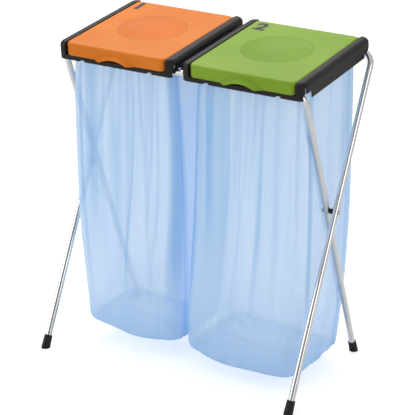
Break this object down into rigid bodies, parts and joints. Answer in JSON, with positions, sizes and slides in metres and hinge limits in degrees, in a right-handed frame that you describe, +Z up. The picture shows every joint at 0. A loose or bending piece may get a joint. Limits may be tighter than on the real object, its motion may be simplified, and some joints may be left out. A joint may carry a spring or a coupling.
{
  "type": "double recycling bin",
  "caption": "Folding sack stand on crossed bent tubes with side-by-side rims, each with a coloured hinged lid and a hanging film bag for sorting household rubbish",
  "frame": {"origin": "on the floor, midway between the bins and at the middle of the object's depth", "axes": "+Z up, +X across the bins to the right as seen from the front, +Y to the back; the fronts of the lids face -Y"},
  "size_m": [0.7246, 0.4351, 0.8382],
  "materials": {
    "steel_tube": "polished",
    "rivet_steel": "satin",
    "dark_plastic": "matte",
    "anthracite_rim": "fine grain",
    "orange_lid": "fine grain",
    "green_lid": "fine grain",
    "blue_film": "translucent film"
  },
  "bodies": {
    "outer_frame": {"outer_tube": "steel_tube", "front_foot_cap_left": "dark_plastic", "front_foot_cap_right": "dark_plastic", "pivot_rivet_left": "rivet_steel", "pivot_rivet_right": "rivet_steel", "pivot_spacer_left": "dark_plastic", "pivot_spacer_right": "dark_plastic"},
    "inner_frame": {"inner_tube": "steel_tube", "rear_foot_cap_left": "dark_plastic", "rear_foot_cap_right": "dark_plastic"},
    "rim_left": {"rim_left": "anthracite_rim", "bag_hoop_left": "dark_plastic", "bag_left": "blue_film"},
    "lid_left": {"lid_left": "orange_lid", "hinge_pins_left": "rivet_steel"},
    "rim_right": {"rim_right": "anthracite_rim", "bag_hoop_right": "dark_plastic", "bag_right": "blue_film"},
    "lid_right": {"lid_right": "green_lid", "hinge_pins_right": "rivet_steel"}
  },
  "joints": [
    {"name": "frame_fold", "type": "hinge", "parent": "outer_frame", "child": "inner_frame", "pos_m": [0, 0.00643, 0.44795], "axis": [-1, 0, 0], "range_deg": [0, 45], "deforming": ["bag_left", "bag_right"]},
    {"name": "rim_left_swing", "type": "hinge", "parent": "outer_frame", "child": "rim_left", "pos_m": [0, 0.174, 0.803], "axis": [-1, 0, 0], "range_deg": [0, 90]},
    {"name": "rim_right_swing", "type": "hinge", "parent": "outer_frame", "child": "rim_right", "pos_m": [0, 0.174, 0.803], "axis": [-1, 0, 0], "range_deg": [0, 90]},
    {"name": "lid_left_hinge", "type": "hinge", "parent": "rim_left", "child": "lid_left", "pos_m": [0, 0.17207, 0.83195], "axis": [-1, 0, 0], "range_deg": [0, 105]},
    {"name": "lid_right_hinge", "type": "hinge", "parent": "rim_right", "child": "lid_right", "pos_m": [0, 0.17207, 0.83195], "axis": [-1, 0, 0], "range_deg": [0, 105]}
  ],
  "couplings": [
    {"joint": "rim_left_swing", "follows": "frame_fold", "ratio": 2},
    {"joint": "rim_right_swing", "follows": "frame_fold", "ratio": 2}
  ]
}
